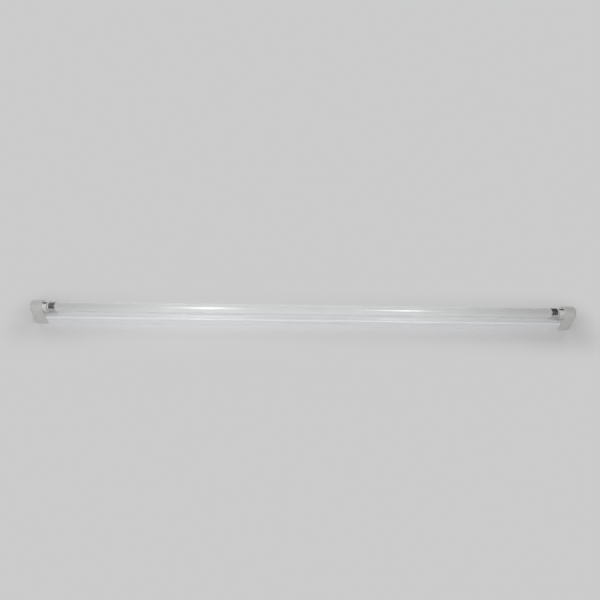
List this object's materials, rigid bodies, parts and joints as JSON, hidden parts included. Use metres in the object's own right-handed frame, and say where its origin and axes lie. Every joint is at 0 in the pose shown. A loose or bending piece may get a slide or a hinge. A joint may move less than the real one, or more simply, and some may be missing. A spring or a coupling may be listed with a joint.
{
  "type": "under-cabinet light",
  "caption": "Slim linear fluorescent batten for under a cabinet: white channel with arched reflector, round lamp in rotary holders, arch-topped end caps with linking inlets.",
  "frame": {"origin": "centre of the flat mounting face", "axes": "+X along the light, to the right in the picture; +Z from the mounting face to the lamp; -Y towards the picture's camera"},
  "size_m": [0.88, 0.022, 0.041],
  "materials": {
    "white_paint": "semi-gloss white paint on extruded aluminium",
    "cap_plastic": "moulded off-white plastic, satin",
    "inlet_plastic": "moulded white plastic",
    "holder_plastic": "glossy white moulded plastic",
    "coated_glass": "clear glass over a white phosphor coating, opaque",
    "clear_glass": "clear glass",
    "lamp_cap_metal": "polished drawn aluminium",
    "insulator": "dark moulded resin",
    "brass": "bright brass",
    "steel": "zinc-plated steel",
    "circuit_board": "lacquered laminate",
    "liner_film": "insulating film",
    "foam": "closed-cell foam",
    "terminal_plastic": "moulded terminal plastic",
    "component_black": "moulded resin",
    "film_capacitor": "dipped resin",
    "disc_coating": "dipped resin",
    "ferrite": "sintered ferrite",
    "winding_copper": "enamelled copper wire",
    "resistor_coating": "lacquer",
    "wire_black": "wire insulation",
    "wire_white": "wire insulation",
    "wire_green": "wire insulation"
  },
  "bodies": {
    "housing": {"channel": "white_paint", "reflector_cover": "white_paint", "end_cap_left": "cap_plastic", "end_cap_right": "cap_plastic", "inlet_left": "inlet_plastic", "inlet_right": "inlet_plastic", "lampholder_left": "holder_plastic", "lampholder_right": "holder_plastic", "holder_face_left": "holder_plastic", "holder_face_right": "holder_plastic", "fuse": "clear_glass", "inlet_pins_left": "brass", "inlet_pins_right": "brass", "lamp_contacts_left": "brass", "lamp_contacts_right": "brass", "earth_tab": "brass", "cap_screws_left": "steel", "cap_screws_right": "steel", "earth_rivet": "steel", "ballast_board": "circuit_board", "insulation_liner": "liner_film", "board_pads": "foam", "mains_terminal": "terminal_plastic", "lamp_terminal": "terminal_plastic", "rectifier_diodes": "component_black", "switching_transistors": "component_black", "smoothing_capacitor": "component_black", "resonant_capacitor": "film_capacitor", "coupling_capacitors": "film_capacitor", "varistor": "disc_coating", "line_filter_choke": "ferrite", "drive_transformer": "ferrite", "lamp_choke_core": "ferrite", "lamp_choke_coil": "winding_copper", "resistors": "resistor_coating", "live_wires": "wire_black", "neutral_wires": "wire_white", "lamp_wires_left": "wire_white", "lamp_wires_right": "wire_white", "earth_wires": "wire_green"},
    "lamp": {"lamp_tube": "coated_glass", "lamp_cap_left": "lamp_cap_metal", "lamp_cap_right": "lamp_cap_metal", "lamp_insulator_left": "insulator", "lamp_insulator_right": "insulator", "lamp_pins_left": "brass", "lamp_pins_right": "brass", "lamp_stem_left": "clear_glass", "lamp_stem_right": "clear_glass", "cathode_left": "steel", "cathode_right": "steel"},
    "rotor_left": {"rotor_left": "holder_plastic"},
    "rotor_right": {"rotor_right": "holder_plastic"}
  },
  "joints": [
    {"name": "lamp_turn", "type": "hinge", "parent": "housing", "child": "lamp", "pos_m": [0, 0, 0.03], "axis": [1, 0, 0], "range_deg": [0, 90]},
    {"name": "rotor_left_turn", "type": "hinge", "parent": "housing", "child": "rotor_left", "pos_m": [-0.4145, 0, 0.03], "axis": [1, 0, 0], "range_deg": [0, 90]},
    {"name": "rotor_right_turn", "type": "hinge", "parent": "housing", "child": "rotor_right", "pos_m": [0.4145, 0, 0.03], "axis": [1, 0, 0], "range_deg": [0, 90]}
  ],
  "couplings": [
    {"joint": "rotor_left_turn", "follows": "lamp_turn", "ratio": 1},
    {"joint": "rotor_right_turn", "follows": "lamp_turn", "ratio": 1}
  ]
}
